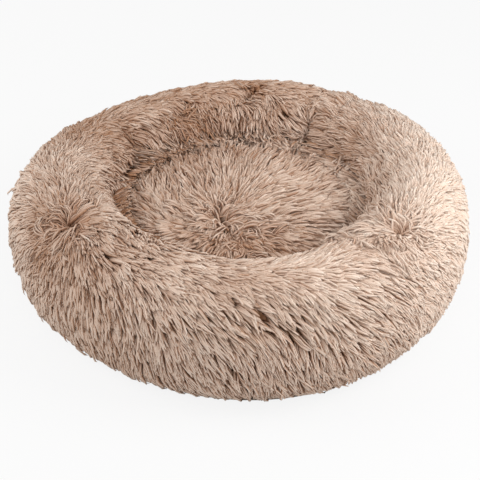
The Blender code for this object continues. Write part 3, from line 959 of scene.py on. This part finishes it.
def woven(name, warp, weft, pitch, turn, rough):
    """Cloth of two crossing sets of threads a pitch apart, turned by an angle, slightly uneven."""
    look, nodes, links, shader = new_look(name, rough)
    place = nodes.new("ShaderNodeTexCoord")
    lay = nodes.new("ShaderNodeMapping")
    lay.inputs["Rotation"].default_value = (0.0, 0.0, turn)
    links.new(place.outputs["Object"], lay.inputs["Vector"])
    over = nodes.new("ShaderNodeMath")
    over.operation = "MAXIMUM"
    for number, way in enumerate(("X", "Y")):
        band = nodes.new("ShaderNodeTexWave")
        band.bands_direction = way
        band.inputs["Scale"].default_value = WAVE_PITCH / pitch
        band.inputs["Distortion"].default_value = 0.8
        band.inputs["Detail"].default_value = 1.0
        links.new(lay.outputs["Vector"], band.inputs["Vector"])
        links.new(band.outputs["Fac"], over.inputs[number])
    wear = mottling(nodes, links, 45.0, 5.0)
    mixed = nodes.new("ShaderNodeMath")
    mixed.operation = "MULTIPLY_ADD"
    mixed.inputs[1].default_value = 0.5
    links.new(over.outputs[0], mixed.inputs[0])
    links.new(wear.outputs["Fac"], mixed.inputs[2])
    tone = ramp(nodes, (0.45, warp), (1.0, weft))
    links.new(mixed.outputs[0], tone.inputs["Fac"])
    links.new(tone.outputs["Color"], shader.inputs["Base Color"])
    raise_relief(nodes, links, over.outputs[0], 0.6, 0.0003, shader)
    return look


def rubber_material():
    """Dull dark rubber, slightly mottled with lint and dust."""
    look, nodes, links, shader = new_look("base_dots", 0.55)
    dust = mottling(nodes, links, 180.0, 4.0)
    tone = ramp(nodes, (0.40, DOT_DARK), (0.75, DOT_DUSTY))
    links.new(dust.outputs["Fac"], tone.inputs["Fac"])
    links.new(tone.outputs["Color"], shader.inputs["Base Color"])
    return look


OXFORD = woven("base_oxford", (0.155, 0.120, 0.095, 1.0), (0.300, 0.245, 0.200, 1.0), 0.0009, 0.0, 0.55)
TWILL = woven("seam_twill", (0.300, 0.220, 0.165, 1.0), (0.470, 0.365, 0.285, 1.0), 0.0011, pi / 4.0, 0.85)
COTTON = woven("lining_cotton", (0.600, 0.570, 0.530, 1.0), (0.800, 0.780, 0.745, 1.0), 0.0006, 0.0, 0.9)
THREAD = woven("waxed_thread", (0.280, 0.200, 0.145, 1.0), (0.500, 0.390, 0.300, 1.0), 0.0005, pi / 3.0, 0.5)
for node, look in (("base_seam_tape", TWILL), ("seat_seam_tape", TWILL), ("bolster_lining", COTTON),
                   ("seat_lining", COTTON), ("seat_tack", THREAD)):
    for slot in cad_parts[node].material_slots:
        slot.material = look

# The cloth is the base's own outline, held off the floor by the thickness of its dots
cloth_mesh = welded_copy("base_cloth")
for vertex in cloth_mesh.vertices:
    vertex.co.z = max(vertex.co.z, CLOTH_LIFT)
cloth_mesh.update()
cloth_mesh.materials.clear()
cloth_mesh.materials.append(OXFORD)
base = bpy.data.objects.new("base_oxford_cloth", cloth_mesh)
bpy.context.scene.collection.objects.link(base)
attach(base, "root")
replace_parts(base, "base_cloth")

outline = np.array([vertex.co for vertex in cloth_mesh.vertices])
middle = (outline.min(axis=0) + outline.max(axis=0)) / 2.0
outline -= middle
bearing = azimuth_of(outline)
order = np.argsort(bearing)
bearing = bearing[order]
rim = reach_of(outline)[order]

bpy.ops.object.select_all(action="DESELECT")
bpy.ops.mesh.primitive_cone_add(vertices=DOT_SIDES, radius1=DOT_RADIUS * DOT_TAPER, radius2=DOT_RADIUS,
                                depth=CLOTH_LIFT, location=(0.0, 0.0, CLOTH_LIFT / 2.0))
dot = bpy.context.object
bpy.ops.object.transform_apply(location=True)
dot_corners = np.array([vertex.co for vertex in dot.data.vertices])
dot_faces = [tuple(face.vertices) for face in dot.data.polygons]
bpy.data.objects.remove(dot, do_unlink=True)
corners, faces = [], []
rows = int(DOT_FIELD / DOT_SPACING)
for row in range(-rows, rows + 1):
    for column in range(-rows, rows + 1):
        x = (column + 0.5 * (row % 2)) * DOT_SPACING
        y = row * DOT_SPACING * sin(pi / 3.0)
        limit = np.interp(np.arctan2(y, x), bearing, rim, period=2.0 * pi) - DOT_MARGIN
        if np.hypot(x, y) < limit:
            first = len(corners) * len(dot_corners)
            corners.append(dot_corners + np.array([x + middle[0], y + middle[1], 0.0]))
            faces += [tuple(first + corner for corner in face) for face in dot_faces]
dots_mesh = bpy.data.meshes.new("base_dots")
dots_mesh.from_pydata(np.concatenate(corners).tolist(), [], faces)
dots_mesh.materials.append(rubber_material())
dots = bpy.data.objects.new("base_dots", dots_mesh)
bpy.context.scene.collection.objects.link(dots)
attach(dots, "root")

# Overlock stitches wrap the cloth's edge, leaning a little round the bed
STITCH = model_lock(STITCH_CUTS, STITCH_WIDTHS)
angle = (np.arange(STITCH_COUNT) + 0.5) * 2.0 * pi / STITCH_COUNT - pi
edge = np.interp(angle, bearing, rim, period=2.0 * pi)
paths, lifts = [], []
for level in STITCH.levels:
    lean = angle + level * STITCH_LEAN
    reach = edge - STITCH_REACH * (1.0 - level) + STITCH_BULGE * sin(pi * level)
    height = STITCH_FLOOR + CLOTH_LIFT * (STITCH_START + STITCH_CLIMB * level ** 3)
    x = middle[0] + reach * np.cos(lean)
    y = middle[1] + reach * np.sin(lean)
    paths.append(np.stack([x, y, np.full(STITCH_COUNT, height)], 1))
    facing = np.full(STITCH_COUNT, level - STITCH_FACING)
    lifts.append(np.stack([np.cos(lean) * level, np.sin(lean) * level, facing], 1))
even = np.zeros(STITCH_COUNT)
knit_locks("base_stitches", STITCH, np.stack(paths, 1), np.stack(lifts, 1), even + STITCH_RADIUS, even + 0.5,
           even, even, np.random.default_rng(400), THREAD)


# Studio
# A plain pale floor that shows white behind the bed and keeps its shadow, three soft lamps, and the
# photograph's high front view.
FLOOR_SIZE = 12.0
FLOOR_GREY = (0.72, 0.72, 0.72, 1.0)
FLOOR_GLOW = 0.86
SKY_WHITE = (1.0, 1.0, 1.0, 1.0)
SKY_LIGHT = 0.54
# Each lamp: its size, its power and its place
LAMPS = (("right", 0.7, 8.0, (0.95, -0.3, 0.8)), ("front", 1.0, 8.6, (0.1, -1.8, 1.5)),
         ("left", 1.2, 17.0, (-1.8, 0.0, 1.3)))
LAMP_AIM = (0.0, 0.0, 0.05)
CAMERA_AWAY = 1.60
CAMERA_RISE = 33.7
CAMERA_AIM = (0.0, 0.0, 0.080)
SENSOR_WIDTH = 36.0
PICTURE_PIXELS = 480.0
LENS_PIXELS = 1227.0
SHIFT_PIXELS = (-1.7, -24.8)

bpy.ops.object.select_all(action="DESELECT")
bpy.ops.mesh.primitive_plane_add(size=FLOOR_SIZE, location=(0.0, 0.0, 0.0))
floor = bpy.context.object
floor.name = "floor"
pale, pale_nodes, pale_links, paper = new_look("floor_white", 0.9)
paper.inputs["Base Color"].default_value = FLOOR_GREY
seen = pale_nodes.new("ShaderNodeLightPath")
whiten = pale_nodes.new("ShaderNodeMath")
whiten.operation = "MULTIPLY"
whiten.inputs[1].default_value = FLOOR_GLOW
glow = pale_nodes.new("ShaderNodeEmission")
both = pale_nodes.new("ShaderNodeMixShader")
pale_links.new(seen.outputs["Is Camera Ray"], whiten.inputs[0])
pale_links.new(whiten.outputs[0], both.inputs["Fac"])
pale_links.new(paper.outputs[0], both.inputs[1])
pale_links.new(glow.outputs[0], both.inputs[2])
pale_links.new(both.outputs[0], pale_nodes["Material Output"].inputs["Surface"])
floor.data.materials.append(pale)

world = bpy.data.worlds.new("studio")
bpy.context.scene.world = world
world.use_nodes = True
world.node_tree.nodes["Background"].inputs["Color"].default_value = SKY_WHITE
world.node_tree.nodes["Background"].inputs["Strength"].default_value = SKY_LIGHT

for name, size, power, place in LAMPS:
    lamp = bpy.data.lights.new(name, "AREA")
    lamp.size = size
    lamp.energy = power
    holder = bpy.data.objects.new(name, lamp)
    bpy.context.scene.collection.objects.link(holder)
    holder.location = place
    holder.visible_camera = False
    holder.rotation_euler = (Vector(LAMP_AIM) - Vector(place)).to_track_quat("-Z", "Y").to_euler()

camera = bpy.data.cameras.new("camera")
camera.sensor_width = SENSOR_WIDTH
camera.lens = LENS_PIXELS / PICTURE_PIXELS * SENSOR_WIDTH
camera.shift_x = -SHIFT_PIXELS[0] / PICTURE_PIXELS
camera.shift_y = SHIFT_PIXELS[1] / PICTURE_PIXELS
eye = bpy.data.objects.new("camera", camera)
bpy.context.scene.collection.objects.link(eye)
rise = radians(CAMERA_RISE)
eye.location = Vector(CAMERA_AIM) + Vector((0.0, -cos(rise), sin(rise))) * CAMERA_AWAY
eye.rotation_euler = (pi / 2.0 - rise, 0.0, 0.0)
bpy.context.scene.camera = eye
bpy.context.scene.view_settings.view_transform = "Standard"
